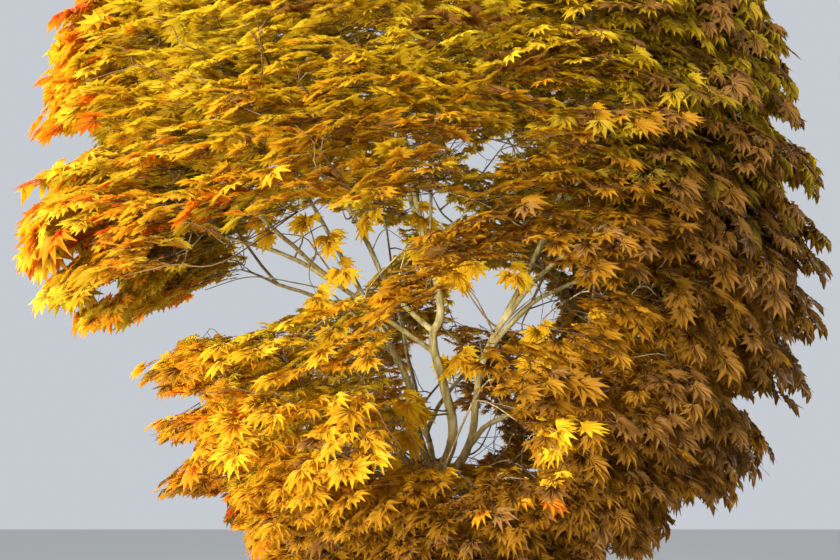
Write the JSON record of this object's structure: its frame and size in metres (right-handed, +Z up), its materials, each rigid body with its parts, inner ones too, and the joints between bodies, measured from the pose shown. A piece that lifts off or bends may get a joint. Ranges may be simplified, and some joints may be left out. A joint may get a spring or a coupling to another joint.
{
  "type": "full moon maple",
  "caption": "Full moon maple in autumn leaf, rooted in the ground: a short leaning trunk, bare spreading boughs and a wide round crown of golden foliage.",
  "frame": {"origin": "middle of the flat cut under the trunk, at ground level", "axes": "+Z up the tree, -Y towards the open window in the crown that the picture looks into, +X to the right in the picture"},
  "size_m": [3.4043, 3.4062, 4.2743],
  "materials": {
    "bark": "matt bark",
    "gold_leaf": "satin leaf",
    "amber_leaf": "satin leaf"
  },
  "bodies": {
    "root": {"trunk": "bark", "bough_top_left": "bark", "bough_upper_right": "bark", "bough_low_right": "bark", "bough_upper_back_left": "bark", "bough_low_left": "bark", "bough_skirt_left": "bark", "bough_skirt_front": "bark", "bough_skirt_right": "bark", "bough_skirt_back_right": "bark", "bough_low_back": "bark", "bough_skirt_back_left": "bark", "bough_mid_left": "bark", "bough_upper_left": "bark", "bough_low_front_left": "bark", "bough_mid_front_left": "bark", "bough_mid_back_left": "bark", "bough_low_back_left": "bark", "bough_mid_right": "bark", "bough_mid_front_right": "bark", "bough_upper_front_right": "bark", "bough_low_front_right": "bark", "bough_low_back_right": "bark", "bough_mid_back": "bark", "bough_mid_back_right": "bark", "bough_upper_front": "bark", "bough_mid_front": "bark", "bough_upper_back": "bark", "bough_top_front": "bark", "bough_top_right": "bark", "top_left": "gold_leaf", "upper_right": "amber_leaf", "low_right": "amber_leaf", "upper_back_left": "gold_leaf", "low_left": "gold_leaf", "skirt_left": "gold_leaf", "skirt_front": "gold_leaf", "skirt_right": "amber_leaf", "skirt_back_right": "amber_leaf", "low_back": "gold_leaf", "skirt_back_left": "gold_leaf", "mid_left": "gold_leaf", "upper_left": "gold_leaf", "low_front_left": "gold_leaf", "mid_front_left": "gold_leaf", "mid_back_left": "gold_leaf", "low_back_left": "gold_leaf", "mid_right": "amber_leaf", "mid_front_right": "amber_leaf", "upper_front_right": "amber_leaf", "low_front_right": "amber_leaf", "low_back_right": "amber_leaf", "mid_back": "gold_leaf", "mid_back_right": "amber_leaf", "upper_front": "gold_leaf", "mid_front": "gold_leaf", "upper_back": "gold_leaf", "top_front": "gold_leaf", "top_right": "amber_leaf"}
  },
  "joints": []
}
